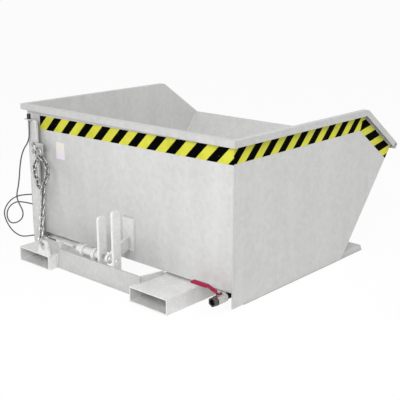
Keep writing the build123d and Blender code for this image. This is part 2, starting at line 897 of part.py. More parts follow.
def strand(joints, first_normal, last_normal):
    """The centre, direction and flat side of each link, about a quarter turn from the last."""
    runs = list(zip(joints, joints[1:]))
    centres = [(first + second) / 2 for first, second in runs]
    alongs = [(second - first).normalized() for first, second in runs]

    def normal_at(along, angle):
        flat = (first_normal - along * first_normal.dot(along)).normalized()
        return flat * math.cos(angle) + along.cross(flat) * math.sin(angle)

    quarter = math.pi / 2
    last = len(runs) - 1
    level = last_normal.dot(normal_at(alongs[-1], 0))
    upright = last_normal.dot(normal_at(alongs[-1], quarter))
    twist = math.atan2(upright, level) - quarter * last
    twist = twist - math.pi * round(twist / math.pi)
    step = quarter + twist / last
    normals = [normal_at(along, step * index) for index, along in enumerate(alongs)]
    return list(zip(centres, alongs, normals))


def ring_spoke(turn):
    """The direction from the ring's centre to a place on it, turned from straight down to the right."""
    angle = math.radians(turn)
    return Vector(0, -math.sin(angle), -math.cos(angle))


chain_pitch = chain_inner_length - link_play
ring_x = post_x - hook_plate_thickness - hook_reach / 2
ring_drop = ring_radius - ring_wire / 2 - hook_wire / 2 - chain_play
ring_centre = Vector(ring_x, hook_y, hook_z - ring_drop)
ring = Pos(*ring_centre) * Rot(0, 90, 0) * Torus(ring_radius, ring_wire / 2)

hook_back = post_x - hook_plate_thickness
hook_foot = (hook_back, hook_y, hook_z)
hook_corner = (hook_back - hook_reach, hook_y, hook_z)
hook_end = (hook_corner[0], hook_y, hook_z + hook_rise)
hook_path = FilletPolyline(hook_foot, hook_corner, hook_end, radius=hook_bend)
hook_bar = sweep(Plane(origin=hook_foot, z_dir=(-1, 0, 0)) * Circle(hook_wire / 2), path=hook_path)
plate_y0 = hook_y - hook_wire
plate_z0 = hook_z - hook_plate_height / 2
plate_z1 = hook_z + hook_plate_height / 2
hook_plate = box(hook_back, post_x, plate_y0, plate_y0 + hook_plate_width, plate_z0, plate_z1)
keep("chain_hook", hook_plate + hook_bar)

lug_hole_z = pocket_height + lug_hole_rise
lug_outline = [
    (lug_y - lug_width / 2, pocket_height),
    (lug_y + lug_width / 2, pocket_height),
    (lug_y + lug_crown, lug_hole_z),
    (lug_y - lug_crown, lug_hole_z),
]
lug_front = -pocket_reach + lug_plate
lug = plate_yz(lug_outline, -pocket_reach, lug_front)
lug_axis = ((-pocket_reach, lug_y, lug_hole_z), (lug_front, lug_y, lug_hole_z))
keep("chain_lug", lug + rod(*lug_axis, lug_crown) - rod(*lug_axis, lug_hole / 2))

lug_middle = Vector(lug_front - lug_plate / 2, lug_y, lug_hole_z)
main_seat = ring_centre + ring_spoke(ring_main_turn) * ring_radius
join_aim = Vector(*beside(*chain_join))
pull = (join_aim - lug_middle).normalized()
link_way = Vector(0, pull.Y, pull.Z).normalized()
link_foot = lug_middle + link_way * (lug_hole / 2 - lug_link_wire / 2 - lug_play)
lug_link_centre = link_foot + link_way * (lug_link_length / 2 + lug_link_wire / 2)
lug_link_normal = link_way.cross(Vector(1, 0, 0))
long_link = oblong(lug_link_length, lug_link_width, lug_link_wire)
lug_link = placed(long_link, lug_link_centre, link_way, lug_link_normal)

main_start = lug_link_centre + link_way * (lug_link_length / 2 - chain_end_play)
main_way = (join_aim - main_start).normalized()
low_count = round((join_aim - main_start).length / chain_pitch)
low_joints = [main_start + main_way * (chain_pitch * index) for index in range(low_count)]
join = main_start + main_way * (chain_pitch * low_count)
strand_right = main_way.cross(Vector(0, 0, 1)).normalized()
ring_hold = ring_wire / 2 + chain_end_play
main_joints = low_joints + hang(join, 0, main_seat, ring_hold, strand_right)
main_tangent = ring_spoke(ring_main_turn).cross(Vector(1, 0, 0))
main_places = strand(main_joints, Vector(1, 0, 0), main_tangent)

# Snap hook at the free end, clipped through a link
link_centre, link_along, link_normal = main_places[snap_link_count]
link_side = link_normal.cross(link_along)
link_side = link_side * math.copysign(1, link_side.Y)
snap_angle = math.radians(snap_lean)
snap_along = link_along * math.cos(snap_angle) + link_side * math.sin(snap_angle)
snap_bend = (snap_inner_width + snap_wire) / 2
snap_half = (snap_inner_length - snap_inner_width) / 2
crown = snap_half + snap_bend
snap_place = link_centre + snap_along * crown
snap_frame = Plane(origin=snap_place, x_dir=link_normal, z_dir=snap_along)
gate_half = snap_gate_length / 2
gate_radius = snap_wire / 2
gate_head = (snap_bend, 0, gate_half)
gate_foot = (snap_bend, 0, -gate_half)
near_top, far_top = (snap_bend, 0, snap_half), (-snap_bend, 0, snap_half)
near_low, far_low = (snap_bend, 0, -snap_half), (-snap_bend, 0, -snap_half)
hook_line = Line(gate_head, near_top) + ThreePointArc(near_top, (0, 0, crown), far_top)
hook_line = hook_line + Line(far_top, far_low) + ThreePointArc(far_low, (0, 0, -crown), near_low)
hook_line = hook_line + Line(near_low, gate_foot)
snap_body = sweep(Plane(origin=gate_head, z_dir=(0, 0, 1)) * Circle(gate_radius), path=hook_line)
keep("snap_hook", snap_frame.location * snap_body)
gate_low = -gate_half + gate_radius + snap_gate_play
gate = rod((snap_bend, 0, gate_low), (snap_bend, 0, gate_half - snap_tip_play), gate_radius)
gate = gate + Pos(snap_bend, 0, gate_low) * Sphere(gate_radius)
keep("snap_gate", snap_frame.location * gate)
gate_pivot = snap_frame.from_local_coords(Vector(snap_bend, 0, gate_low))

snap_crown = snap_place + snap_along * crown
snap_hold = snap_wire / 2 + chain_end_play
return_seat = ring_centre + ring_spoke(ring_return_turn) * ring_radius
return_joints = hang(snap_crown, snap_hold, return_seat, ring_hold, -strand_right)
return_tangent = ring_spoke(ring_return_turn).cross(Vector(1, 0, 0))
return_places = strand(return_joints, link_normal, return_tangent)
chain_link = oblong(chain_inner_length, chain_inner_width, chain_wire)
links = [placed(chain_link, *place) for place in main_places + return_places]
keep("safety_chain", Compound(children=[lug_link, ring] + links))

# Drain valve under the rear right corner
bore = valve_bore / 2
pipe_outer = bore + pipe_wall
valve_z = floor_under - pipe_outer - pipe_drop
hex_end = valve_start - valve_hex
barrel_end_x = hex_end - valve_barrel
cap_end_x = barrel_end_x - valve_cap_hex
cavity_start = hex_end - cavity_wall
cavity = valve_barrel_radius - cavity_wall
ball_half = math.sqrt(ball_radius**2 - bore**2) + ball_seat_play
seat_inner_x = cavity_start - seat_thickness
ball_x = seat_inner_x - ball_half
seat_outer_x = ball_x - ball_half


def valve_rod(x0, x1, radius):
    """A round bar on the valve's axis."""
    return rod((x0, valve_y, valve_z), (x1, valve_y, valve_z), radius)


def stem_rod(z0, z1, radius):
    """A round bar on the stem's axis, by its heights above the valve's axis."""
    return rod((ball_x, valve_y, valve_z + z0), (ball_x, valve_y, valve_z + z1), radius)


def stem_hex(z0, z1, flats):
    """A hexagon on the stem's axis, by its heights above the valve's axis."""
    return hexagon((ball_x, valve_y, valve_z + z0), (ball_x, valve_y, valve_z + z1), flats)


elbow_corner = (elbow_x, valve_y, valve_z)
elbow_top = (elbow_x, valve_y, floor_under)
elbow = rod(elbow_corner, elbow_top, pipe_outer) + valve_rod(elbow_x, valve_start, pipe_outer)
elbow = elbow + Pos(*elbow_corner) * Sphere(pipe_outer)
elbow = elbow + rod((elbow_x, valve_y, floor_under - elbow_flange), elbow_top, elbow_flange_radius)
elbow = elbow - rod(elbow_corner, elbow_top, bore) - valve_rod(elbow_x, valve_start, bore)
keep("drain_elbow", elbow - Pos(*elbow_corner) * Sphere(bore))

stem_radius = stem_diameter / 2
valve_body = hexagon((valve_start, valve_y, valve_z), (hex_end, valve_y, valve_z), valve_flats)
valve_body = valve_body + valve_rod(hex_end, barrel_end_x, valve_barrel_radius)
valve_body = valve_body + stem_rod(0, neck_rise, neck_radius)
valve_body = valve_body - valve_rod(valve_start, cavity_start, bore)
valve_body = valve_body - valve_rod(cavity_start, barrel_end_x, cavity)
keep("valve_body", valve_body - stem_rod(0, neck_rise, stem_radius + stem_fit))


def valve_seat(x):
    """A seat ring whose front face is at x."""
    back = x - seat_thickness
    return valve_rod(x, back, cavity - cavity_play) - valve_rod(x, back, bore)


keep("valve_seats", Compound(children=[valve_seat(cavity_start), valve_seat(seat_outer_x)]))
end_cap = hexagon((barrel_end_x, valve_y, valve_z), (cap_end_x, valve_y, valve_z), valve_flats)
end_cap = end_cap + valve_rod(seat_outer_x - seat_thickness, barrel_end_x, cavity - cavity_play)
end_cap = end_cap - valve_rod(seat_outer_x, cap_end_x, bore)
keep("valve_end_cap", end_cap - valve_rod(cap_end_x + outlet_depth, cap_end_x, outlet_diameter / 2))

tang_low = ball_radius - tang_depth
tang_z = valve_z + tang_low + tang_depth / 2
tang = Pos(ball_x, valve_y, tang_z) * Box(tang_width, stem_diameter, tang_depth)
ball = Pos(ball_x, valve_y, valve_z) * Sphere(ball_radius)
bore_start = (ball_x, valve_y - ball_radius, valve_z)
bore_end = (ball_x, valve_y + ball_radius, valve_z)
ball = ball - rod(bore_start, bore_end, bore)
keep("valve_ball", ball - tang)
gland_top = neck_rise + gland_height
lever_low = gland_top + lever_gap
lever_top = lever_low + lever_thickness
nut_top = lever_top + nut_height
keep("valve_stem", stem_rod(ball_radius, nut_top + stem_end, stem_radius) + tang)
gland = stem_hex(neck_rise, gland_top, gland_flats)
keep("gland_nut", gland - stem_rod(neck_rise, gland_top, stem_radius + stem_fit))

lever_z = valve_z + lever_low
crank_shift = lever_thickness * math.tan(math.atan2(lever_rise, lever_crank) / 2)
crank_end = lever_flat + lever_crank
lever_outline = [
    (-lever_heel, 0),
    (lever_flat, 0),
    (crank_end, lever_rise),
    (lever_length, lever_rise),
    (lever_length, lever_rise + lever_thickness),
    (crank_end - crank_shift, lever_rise + lever_thickness),
    (lever_flat - crank_shift, lever_thickness),
    (-lever_heel, lever_thickness),
]
lever_points = [(valve_y + along, lever_z + up) for along, up in lever_outline]
lever = plate_yz(lever_points, ball_x - lever_width / 2, ball_x + lever_width / 2)
lever = lever - stem_rod(lever_low, lever_top, stem_radius)
keep("valve_lever", lever)
grip_half = lever_width / 2 + grip_skin
grip_y1 = valve_y + lever_length + grip_skin
grip_z0 = lever_z + lever_rise - grip_skin
grip_z1 = lever_z + lever_rise + lever_thickness + grip_skin
grip = box(ball_x - grip_half, ball_x + grip_half, grip_y1 - grip_length, grip_y1, grip_z0, grip_z1)
grip = fillet(grip.edges(), grip_skin * grip_rounding)
keep("lever_grip", grip - lever)
keep("lever_nut", stem_hex(lever_top, nut_top, nut_flats) - stem_rod(lever_top, nut_top, stem_radius))

sieve_x = sheet + sieve_size / 2
sieve_y = -inner_half + sieve_size / 2
sieve_z = floor_top + sieve_thickness / 2
sieve = Pos(sieve_x, sieve_y, sieve_z) * Box(sieve_size, sieve_size, sieve_thickness)
spacing = sieve_size / sieve_rows
for place in GridLocations(spacing, spacing, sieve_rows, sieve_rows):
    hole = place * Cylinder(sieve_hole / 2, 2 * sieve_thickness)
    sieve = sieve - Pos(sieve_x, sieve_y, floor_top) * hole
keep("drain_sieve", sieve)

for name, shape in nodes.items():
    export_step(Pos(-origin_x, 0, 0) * shape, f"parts/{name}.step")
print(len(nodes), "pieces, moved back by", round(origin_x, 3))
print("tipping axis at", round(pivot_x - origin_x, 3), pivot_z)
print("valve stem at", round(ball_x - origin_x, 3), valve_y)
print("valve outlet at", round(cap_end_x - origin_x, 3), valve_z)
print("bolt axis at", round(bolt_x - origin_x, 3), bolt_z)
print("snap gate at", gate_pivot - Vector(origin_x, 0, 0), "axis", -snap_frame.y_dir)
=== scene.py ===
# %% [markdown]
# # A tipping hopper
# The hopper is a bin of galvanised sheet on a base with fork pockets. The solids come ready made
# and stay where they are. This lesson gives them their finishes, lays the release cable, adds the
# weld beads and the small fasteners, and lights the whole for a plain studio picture.

# %% Load the solids
import bmesh
import bpy
import math
import numpy as np
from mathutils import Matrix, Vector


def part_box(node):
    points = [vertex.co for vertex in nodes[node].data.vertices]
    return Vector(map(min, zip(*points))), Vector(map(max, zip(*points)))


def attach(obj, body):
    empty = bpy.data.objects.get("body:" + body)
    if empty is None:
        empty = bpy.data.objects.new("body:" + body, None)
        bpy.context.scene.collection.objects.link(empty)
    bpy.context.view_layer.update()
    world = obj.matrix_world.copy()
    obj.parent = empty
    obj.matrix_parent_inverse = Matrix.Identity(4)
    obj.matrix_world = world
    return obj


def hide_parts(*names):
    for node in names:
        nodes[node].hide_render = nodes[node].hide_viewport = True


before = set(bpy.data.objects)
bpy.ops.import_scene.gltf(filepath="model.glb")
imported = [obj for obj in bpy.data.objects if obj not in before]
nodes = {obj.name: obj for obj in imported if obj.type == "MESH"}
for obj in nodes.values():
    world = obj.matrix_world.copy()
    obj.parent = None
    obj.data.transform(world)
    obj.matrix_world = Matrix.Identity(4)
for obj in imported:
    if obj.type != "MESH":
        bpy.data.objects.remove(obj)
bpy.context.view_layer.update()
wall_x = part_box("rear_wall")[0].x
half_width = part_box("side_wall_left")[1].y

# %% [markdown]
# ## The camera
# The straight edges of the bin fix where the camera stood. It looks down a little, from the rear
# right corner, with a fairly long lens. A camera could be turned by three angles. The line from its
# place to its aim is easier to read, and Blender works the angles out from it.

# %% Camera
from mathutils import Vector

camera_place = Vector((wall_x - 2.1597, -2.3895, 1.2286))
camera_aim = Vector((wall_x + 0.1065, -0.3431, 0.360))
lens = bpy.data.cameras.new("studio_camera")
lens.lens = 73.38
lens.sensor_width = 36.0
lens.sensor_fit = "HORIZONTAL"
camera = bpy.data.objects.new("studio_camera", lens)
camera.location = camera_place
camera.rotation_euler = (camera_aim - camera_place).to_track_quat("-Z", "Y").to_euler()
bpy.context.scene.collection.objects.link(camera)
bpy.context.scene.camera = camera
print("camera", round((camera_aim - camera_place).length, 3), "m from its aim")

# %% [markdown]
# ## The release cable
# A stiff cable leaves the latch's sleeve, passes behind the post, makes a loose coil of two turns
# beside the bin, and climbs the post to its knob. First comes its route, as a short list of points.
# Each point is a distance from the rear wall, a distance in from the bin's left side and a height,
# all in millimetres.

# %% Cable route
run = [
    (-112, 315, 105),
    (-112, 275, 105),
    (-102, 238, 101),
    (-84, 207, 95),
    (-54, 173, 86),
    (-17.5, 132, 72),
    (-17.5, 29, 45),
]
wide_turn = [
    (-38, -22, 31),
    (-40, -60, 27.5),
    (-40, -112, 38),
    (-40, -156, 72),
    (-40, -175, 112),
    (-40, -155, 152),
    (-40, -111, 192),
    (-40, -64, 217),
    (-38, -22, 231),
    (-17.5, 29, 239.5),
    (-17.5, 53, 241.2),
]
back_turn = [
    (-17.5, 74.3553, 241.5),
    (-17.5, 89, 226.8553),
    (-17.5, 89, 206.1447),
    (-17.5, 74.3553, 191.5),
]
inner_turn = [
    (-17.5, 53, 191.8),
    (-17.5, 29, 193.5),
    (-38, -22, 198),
    (-40, -64, 191.5),
    (-40, -112, 168),
    (-40, -145, 134),
    (-40, -152, 100),
    (-40, -130, 76),
    (-40, -90, 82),
    (-42, -48, 102),
    (-45, -17, 128),
    (-48, -9, 158),
    (-48.5, -28, 182),
    (-48.5, -48, 206),
    (-48.5, -48, 238),
]
riser = [
    (-48, -34, 270),
    (-47.5, -22, 318),
    (-46.5, -14, 366),
    (-45, -2, 412),
    (-43.5, 18, 452),
    (-42, 49, 484),
    (-41, 63, 516),
    (-40.5, 66, 558),
    (-40.5, 66, 593),
]
MM = 0.001
places = np.concatenate([run, wide_turn, back_turn, inner_turn, riser])
route = places * (MM, -MM, MM) + (wall_x, half_width, 0)
print("cable route up to", round(route[-1, 2], 3), "m high")

# %% [markdown]
# A tube could be swept through the points, but it would kink at each one. A curve of order three
# rounds every corner by itself, and its bevel gives the round section.

# %% Release cable
cable_thickness = 0.006
cable_line = bpy.data.curves.new("release_cable", "CURVE")
cable_line.dimensions = "3D"
cable_line.bevel_depth = 1.0
cable_line.bevel_resolution = 3
cable_line.resolution_u = 10
cable_line.use_fill_caps = True
spline = cable_line.splines.new("NURBS")
spline.points.add(len(route) - 1)
spline.points.foreach_set("co", np.column_stack([route, np.ones(len(route))]).ravel())
spline.points.foreach_set("radius", np.full(len(route), cable_thickness / 2))
spline.order_u = 3
spline.use_endpoint_u = True
cable = bpy.data.objects.new("release_cable", cable_line)
bpy.context.scene.collection.objects.link(cable)
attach(cable, "base_frame")
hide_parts("release_cable_run", "release_cable_coil", "release_cable_riser")
print("cable with", len(route), "control points")

# %% [markdown]
# ## A way to write materials
# A material is a small net of nodes. Naming every node and link by hand is long, so one helper adds
# a node, sets its properties, and sets or links its inputs. Every pattern reads Object coordinates:
# all the pieces have their origin at the world's origin, so the pattern stays on the steel.

# %% Nodes and materials
def add(tree, kind, inputs=None, **settings):
    """Adds one node. An input that is given a socket is linked, and any other value is set."""
    made = tree.nodes.new("ShaderNode" + kind)
    for name, value in settings.items():
        setattr(made, name, value)
    for key, value in (inputs or {}).items():
        if isinstance(value, bpy.types.NodeSocket):
            tree.links.new(value, made.inputs[key])
        else:
            made.inputs[key].default_value = value
    return made


def begin(name):
    """A new material: its tree, its main shader and its Object coordinates."""
    material = bpy.data.materials.new(name)
    material.use_nodes = True
    tree = material.node_tree
    tree.nodes.clear()
    shader = add(tree, "BsdfPrincipled")
    add(tree, "OutputMaterial", {"Surface": shader.outputs["BSDF"]})
    place = add(tree, "TexCoord").outputs["Object"]
    return material, tree, shader, place


print("ways to add a node and to begin a material made")

# %% [markdown]
# A pattern is arithmetic on places, so the next helpers each stand for one step of it: a sum, a
# cloud of noise, a stretched range, a mixed colour, a ramp of tones, and relief from a height.

# %% Numbers and colours
def maths(tree, operation, first, second=0.0):
    """One arithmetic step."""
    return add(tree, "Math", {0: first, 1: second}, operation=operation).outputs[0]


def weighted(tree, first, first_share, second, second_share):
    """The sum of two values, each times its share."""
    first_part = maths(tree, "MULTIPLY", first, first_share)
    return maths(tree, "ADD", first_part, maths(tree, "MULTIPLY", second, second_share))


def dot(tree, place, direction):
    """The distance of a place along a direction."""
    made = add(tree, "VectorMath", {0: place, 1: direction}, operation="DOT_PRODUCT")
    return made.outputs["Value"]


def stretch(tree, place, scale, turn=(0.0, 0.0, 0.0)):
    """Places turned, and scaled along each axis."""
    settings = {"Vector": place, "Rotation": turn, "Scale": scale}
    return add(tree, "Mapping", settings).outputs[0]


def noise(tree, place, scale, detail=3.0, rough=0.55):
    """Cloudy values about 0.5."""
    settings = {"Vector": place, "Scale": scale, "Detail": detail, "Roughness": rough}
    return add(tree, "TexNoise", settings).outputs["Fac"]


def span(tree, value, low, high, to_low, to_high):
    """Stretches a value's range from low and high to two new ends, held within them."""
    ends = {"From Min": low, "From Max": high, "To Min": to_low, "To Max": to_high}
    return add(tree, "MapRange", {"Value": value, **ends}).outputs["Result"]


def mix(tree, share, first, second, way="MIX"):
    """Mixes two colours by a share."""
    made = add(tree, "Mix", {0: share, 6: first, 7: second}, data_type="RGBA", blend_type=way)
    return made.outputs[2]


def ramp(tree, value, stops):
    """A colour looked up from a value, between stops of place and colour."""
    made = add(tree, "ValToRGB", {"Fac": value})
    entries = made.color_ramp.elements
    while len(entries) < len(stops):
        entries.new(0.5)
    for entry, (position, colour) in zip(entries, stops):
        entry.position = position
        entry.color = (*colour, 1.0)
    return made.outputs["Color"]


def paint_corner_shade(tree, colour, reach, low, high, least):
    """Paints shade into a colour in corners: how open a place is, within reach, is measured,
    and its range from low to high becomes a factor from least to 1."""
    corner = add(tree, "AmbientOcclusion", {"Distance": reach}, samples=6).outputs["AO"]
    shade_factor = span(tree, corner, low, high, least, 1.0)
    grey = add(tree, "CombineColor", {0: shade_factor, 1: shade_factor, 2: shade_factor}).outputs[0]
    return mix(tree, 1.0, colour, grey, "MULTIPLY")


def bump(tree, shader, height, strength, depth):
    """Turns a height into fine relief on the shader."""
    made = add(tree, "Bump", {"Height": height, "Strength": strength, "Distance": depth})
    tree.links.new(made.outputs["Normal"], shader.inputs["Normal"])


print("steps for numbers and colours made")

# %% [markdown]
# ## Galvanised steel
# Hot zinc freezes on steel in crystals, the spangle, which differ a little in tone and gloss. Over
# them lie cloudy patches and pale runs where the bath drained off. A photograph of zinc could be
# laid on the steel, but it would repeat and need seams. Patterns in space have neither: cells round
# scattered points give the crystals, wide noise the patches, and noise stretched along Z the runs.

# %% Zinc
def zinc(name, dark, light, metallic, gloss, crystal, run_share, wave, corner_light=0.82, reach=0.04):
    """A zinc coat between two tones. Its tone is a sum of crystal, run and cloud by their shares.
    crystal is cells per metre, gloss the least and most roughness, wave the height of the dents in
    metres, and corner_light the share of colour left by painted shade in corners nearer than reach."""
    cell_share = 0.22
    cloud_share = 1.0 - cell_share - run_share
    run_scale, splash_scale = (16.0, 16.0, 1.6), (7.0, 7.0, 2.2)
    cloud_scale, grit_scale, dent_scale = 2.3, 420.0, 3.1
    grit_height, cell_height = 0.0002, 0.0001
    material, tree, shader, place = begin(name)
    warp = add(tree, "TexNoise", {"Vector": place, "Scale": crystal / 4, "Detail": 2.0})
    push = {0: warp.outputs["Color"], "Scale": 0.6 / crystal}
    shift = add(tree, "VectorMath", push, operation="SCALE").outputs[0]
    moved = add(tree, "VectorMath", {0: place, 1: shift}, operation="ADD").outputs[0]
    cells = add(tree, "TexVoronoi", {"Vector": moved, "Scale": crystal})
    cell = add(tree, "SeparateColor", {0: cells.outputs["Color"]}).outputs[0]
    runs = noise(tree, stretch(tree, place, run_scale), 1.0, 4.0)
    cloud = noise(tree, place, cloud_scale, 5.0, 0.6)
    tone = weighted(tree, cell, cell_share, runs, run_share)
    tone = maths(tree, "ADD", tone, maths(tree, "MULTIPLY", cloud, cloud_share))
    middle = tuple((a + b) / 2 for a, b in zip(dark, light))
    colour = ramp(tree, tone, [(0.3, dark), (0.5, middle), (0.7, light)])
    splash = noise(tree, stretch(tree, place, splash_scale), 1.0, 2.0)
    drip = span(tree, splash, 0.6, 0.7, 0.0, run_share)
    colour = mix(tree, drip, colour, (*light, 1.0))
    # The colour gets painted shade in corners, down to corner_light of it.
    tree.links.new(paint_corner_shade(tree, colour, reach, 0.3, 0.95, corner_light), shader.inputs["Base Color"])
    shader.inputs["Metallic"].default_value = metallic
    shine = weighted(tree, cell, 0.5, cloud, 0.5)
    tree.links.new(span(tree, shine, 0.2, 0.8, *gloss), shader.inputs["Roughness"])
    grit = noise(tree, place, grit_scale, 2.0)
    height = weighted(tree, grit, grit_height, cell, cell_height)
    dents = maths(tree, "MULTIPLY", noise(tree, place, dent_scale, 1.0), wave)
    bump(tree, shader, maths(tree, "ADD", height, dents), 0.6, 1.0)
    return material


print("a way to make zinc made")

# %% [markdown]
# The sheets have wide crystals and clear runs, the bars and plates finer ones, and turned or drawn
# parts are bright metal. Each group shares its settings, and each finish has its own two tones. The
# rim is a darker copy of the sheets' zinc, painted shade on its lit top, and the pockets and the
# latch's plates are lighter copies, painted light on parts that lie in shade.

# %% Zinc and steel finishes
walls = dict(metallic=0.3, gloss=(0.46, 0.58), crystal=60.0, run_share=0.4, wave=0.003, corner_light=0.94)
bars = dict(metallic=0.3, gloss=(0.46, 0.62), crystal=95.0, run_share=0.1, wave=0.001)
beads = dict(metallic=0.35, gloss=(0.4, 0.6), crystal=300.0, run_share=0.1, wave=0.0)
links = dict(metallic=0.85, gloss=(0.28, 0.44), crystal=220.0, run_share=0.05, wave=0.0)
pins = dict(metallic=0.9, gloss=(0.25, 0.4), crystal=260.0, run_share=0.1, wave=0.0)
valves = dict(metallic=0.95, gloss=(0.12, 0.24), crystal=200.0, run_share=0.1, wave=0.0)

sheet_zinc = zinc("sheet_zinc", (0.56, 0.56, 0.555), (0.655, 0.655, 0.648), **walls)
# A darker copy of the sheets' zinc: painted shade on the rim's lit top.
shaded_rim_zinc = zinc("shaded_rim_zinc", (0.51, 0.51, 0.505), (0.60, 0.60, 0.593), **walls)
fitting_zinc = zinc("fitting_zinc", (0.64, 0.64, 0.63), (0.80, 0.80, 0.79), **bars)
# A lighter copy without corner shade: painted light on the fork pockets.
lit_tube_zinc = zinc("lit_tube_zinc", (0.67, 0.67, 0.66), (0.83, 0.83, 0.82), **bars, corner_light=1.0)
# A lighter copy: painted light on the latch's plates, which lie in the cheeks' shade.
lit_plate_zinc = zinc("lit_plate_zinc", (0.72, 0.72, 0.71), (0.86, 0.86, 0.85), **bars)
frame_zinc = zinc("frame_zinc", (0.51, 0.51, 0.505), (0.65, 0.65, 0.64), **bars)
post_zinc = zinc("post_zinc", (0.55, 0.55, 0.545), (0.72, 0.72, 0.71), **bars)
weld_zinc = zinc("weld_zinc", (0.50, 0.50, 0.50), (0.66, 0.66, 0.65), **beads)
# The chain, the hook and the bolt heads get deep painted shade in their gaps.
link_zinc = zinc(
    "link_zinc", (0.21, 0.21, 0.205), (0.56, 0.56, 0.54), **links, corner_light=0.4, reach=0.012
)
pin_steel = zinc("pin_steel", (0.42, 0.42, 0.42), (0.60, 0.60, 0.59), **pins)
# The valve body gets deep painted shade in its corners. The elbow, end cap and gland nut are near
# black: painted dark reflections of shiny metal.
valve_bright = zinc(
    "valve_bright", (0.36, 0.35, 0.34), (0.60, 0.59, 0.57), **valves, corner_light=0.12, reach=0.02
)
valve_painted_dark = zinc(
    "valve_painted_dark", (0.05, 0.045, 0.045), (0.13, 0.12, 0.12), **valves, corner_light=0.2, reach=0.01
)
print("zinc and steel finishes made")

# %% [markdown]
# ## Hazard tape
# The tape below the rim has black stripes at forty-five degrees on yellow. The stripes could be cut
# as pieces, but on real tape they are printed, so they belong in the finish. A stripe is a band of
# one distance, measured along a slanting direction: its place is divided by the pitch, and the part
# after the point says black or yellow.

# %% Tape
def stripe(tree, place, direction, centre, pitch, share):
    """1 on a black stripe: the distance from the centre over the pitch, plus a half, has a fraction
    that lies within half a share of a half."""
    along = maths(tree, "SUBTRACT", dot(tree, place, direction), centre)
    part = maths(tree, "FRACT", maths(tree, "ADD", maths(tree, "DIVIDE", along, pitch), 0.5))
    off = maths(tree, "ABSOLUTE", maths(tree, "SUBTRACT", part, 0.5))
    return maths(tree, "LESS_THAN", off, share / 2)


def tape(name, pattern, deep, pale):
    """A tape finish: yellow between two tones, and black by the pattern, with thin scuffs over a
    fine prism relief."""
    ink_deep, ink_pale = (0.0008, 0.0008, 0.001), (0.002, 0.002, 0.0024)
    scuff_grey = (0.6, 0.6, 0.56, 1.0)
    scuff_scale, scuff_turn = (300.0, 25.0, 300.0), (0.5, 0.4, 0.3)
    cloud_scale, prism_scale = 14.0, 420.0
    material, tree, shader, place = begin(name)
    black = pattern(tree, place)
    cloud = noise(tree, place, cloud_scale, 5.0)
    yellow = ramp(tree, cloud, [(0.35, deep), (0.65, pale)])
    ink = ramp(tree, cloud, [(0.35, ink_deep), (0.65, ink_pale)])
    tree.links.new(span(tree, black, 0.0, 1.0, 0.25, 0.01), shader.inputs["Specular IOR Level"])
    colour = mix(tree, black, yellow, ink)
    scratch = noise(tree, stretch(tree, place, scuff_scale, scuff_turn), 1.0, 3.0)
    colour = mix(tree, span(tree, scratch, 0.7, 0.76, 0.0, 0.25), colour, scuff_grey)
    tree.links.new(colour, shader.inputs["Base Color"])
    tree.links.new(span(tree, cloud, 0.3, 0.7, 0.5, 0.7), shader.inputs["Roughness"])
    prism = add(tree, "TexVoronoi", {"Vector": place, "Scale": prism_scale}).outputs["Distance"]
    bump(tree, shader, prism, 0.12, 0.0006)
    return material


print("a way to make striped tape made")

# %% [markdown]
# On the sides the tape turns down at the peak, where the level rim ends. There a second direction
# takes over past the mitre line, so the stripes keep their slant to the tape.

# %% Tape finishes
level_length = 0.87
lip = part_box("front_wall")[1]
peak = Vector((wall_x + level_length, 0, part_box("rim_rear")[1].z))
fall = math.atan2(peak.z - lip.z, lip.x - peak.x)


def rear_stripes(tree, place):
    """Stripes that rise towards the hopper's right: bands of Y plus Z."""
    return stripe(tree, place, (0.0, 1.0, 1.0), centre=0.577, pitch=0.1031, share=0.49)


def side_stripes(tree, place):
    """Stripes that rise towards the lip, bands of X less Z, and past the mitre at the peak the same
    bands turned by the tape's fall."""
    slant = (1.0, 0.0, -1.0)
    level = stripe(tree, place, slant, centre=wall_x - 0.569, pitch=0.0966, share=0.5)
    across = Vector((math.cos(fall) - math.sin(fall), 0, -math.sin(fall) - math.cos(fall)))
    slope_centre = across.dot(peak) + 0.193
    slope = stripe(tree, place, across, centre=slope_centre, pitch=0.101, share=0.54)
    bisector = Vector((1, 0, -math.tan(fall / 2)))
    past = maths(tree, "GREATER_THAN", dot(tree, place, bisector), bisector.dot(peak))
    return weighted(tree, level, maths(tree, "SUBTRACT", 1.0, past), slope, past)


# The rear tape has a darker yellow than the side tape: the same tape, with painted shade on the
# rear.
tape_rear = tape("tape_rear", rear_stripes, (0.53, 0.52, 0.035), (0.64, 0.63, 0.06))
tape_side = tape("tape_side", side_stripes, (0.60, 0.595, 0.04), (0.71, 0.705, 0.065))
print("tape finishes made, the side tape falls by", round(math.degrees(fall), 1), "degrees")

# %% [markdown]
# ## Paint and plastic
# The lever is painted and has a dipped grip, the knob is moulded, and the cable has a plastic skin.
# One flat colour would look like a toy. Each has its own small unevenness instead: cloudy tone,
# uneven gloss, and the grain of orange peel or of a mould.

# %% Paint and plastic finishes
def coat(name, dark, light, rough, cloud, grain, depth, metallic=0.0, shine=0.5):
    """A plastic or painted finish between two tones. cloud and grain are the scales of the cloudy
    tone and of the grain, depth is the grain's height, and rough the least and most roughness."""
    material, tree, shader, place = begin(name)
    patch = noise(tree, place, cloud, 4.0)
    colour = ramp(tree, patch, [(0.35, dark), (0.65, light)])
    # Paint and plastic get a little painted shade in their corners.
    tree.links.new(paint_corner_shade(tree, colour, 0.01, 0.2, 0.9, 0.7), shader.inputs["Base Color"])
    shader.inputs["Metallic"].default_value = metallic
    shader.inputs["Specular IOR Level"].default_value = shine
    tree.links.new(span(tree, patch, 0.3, 0.7, *rough), shader.inputs["Roughness"])
    bump(tree, shader, noise(tree, place, grain, 2.0), 0.5, depth)
    return material


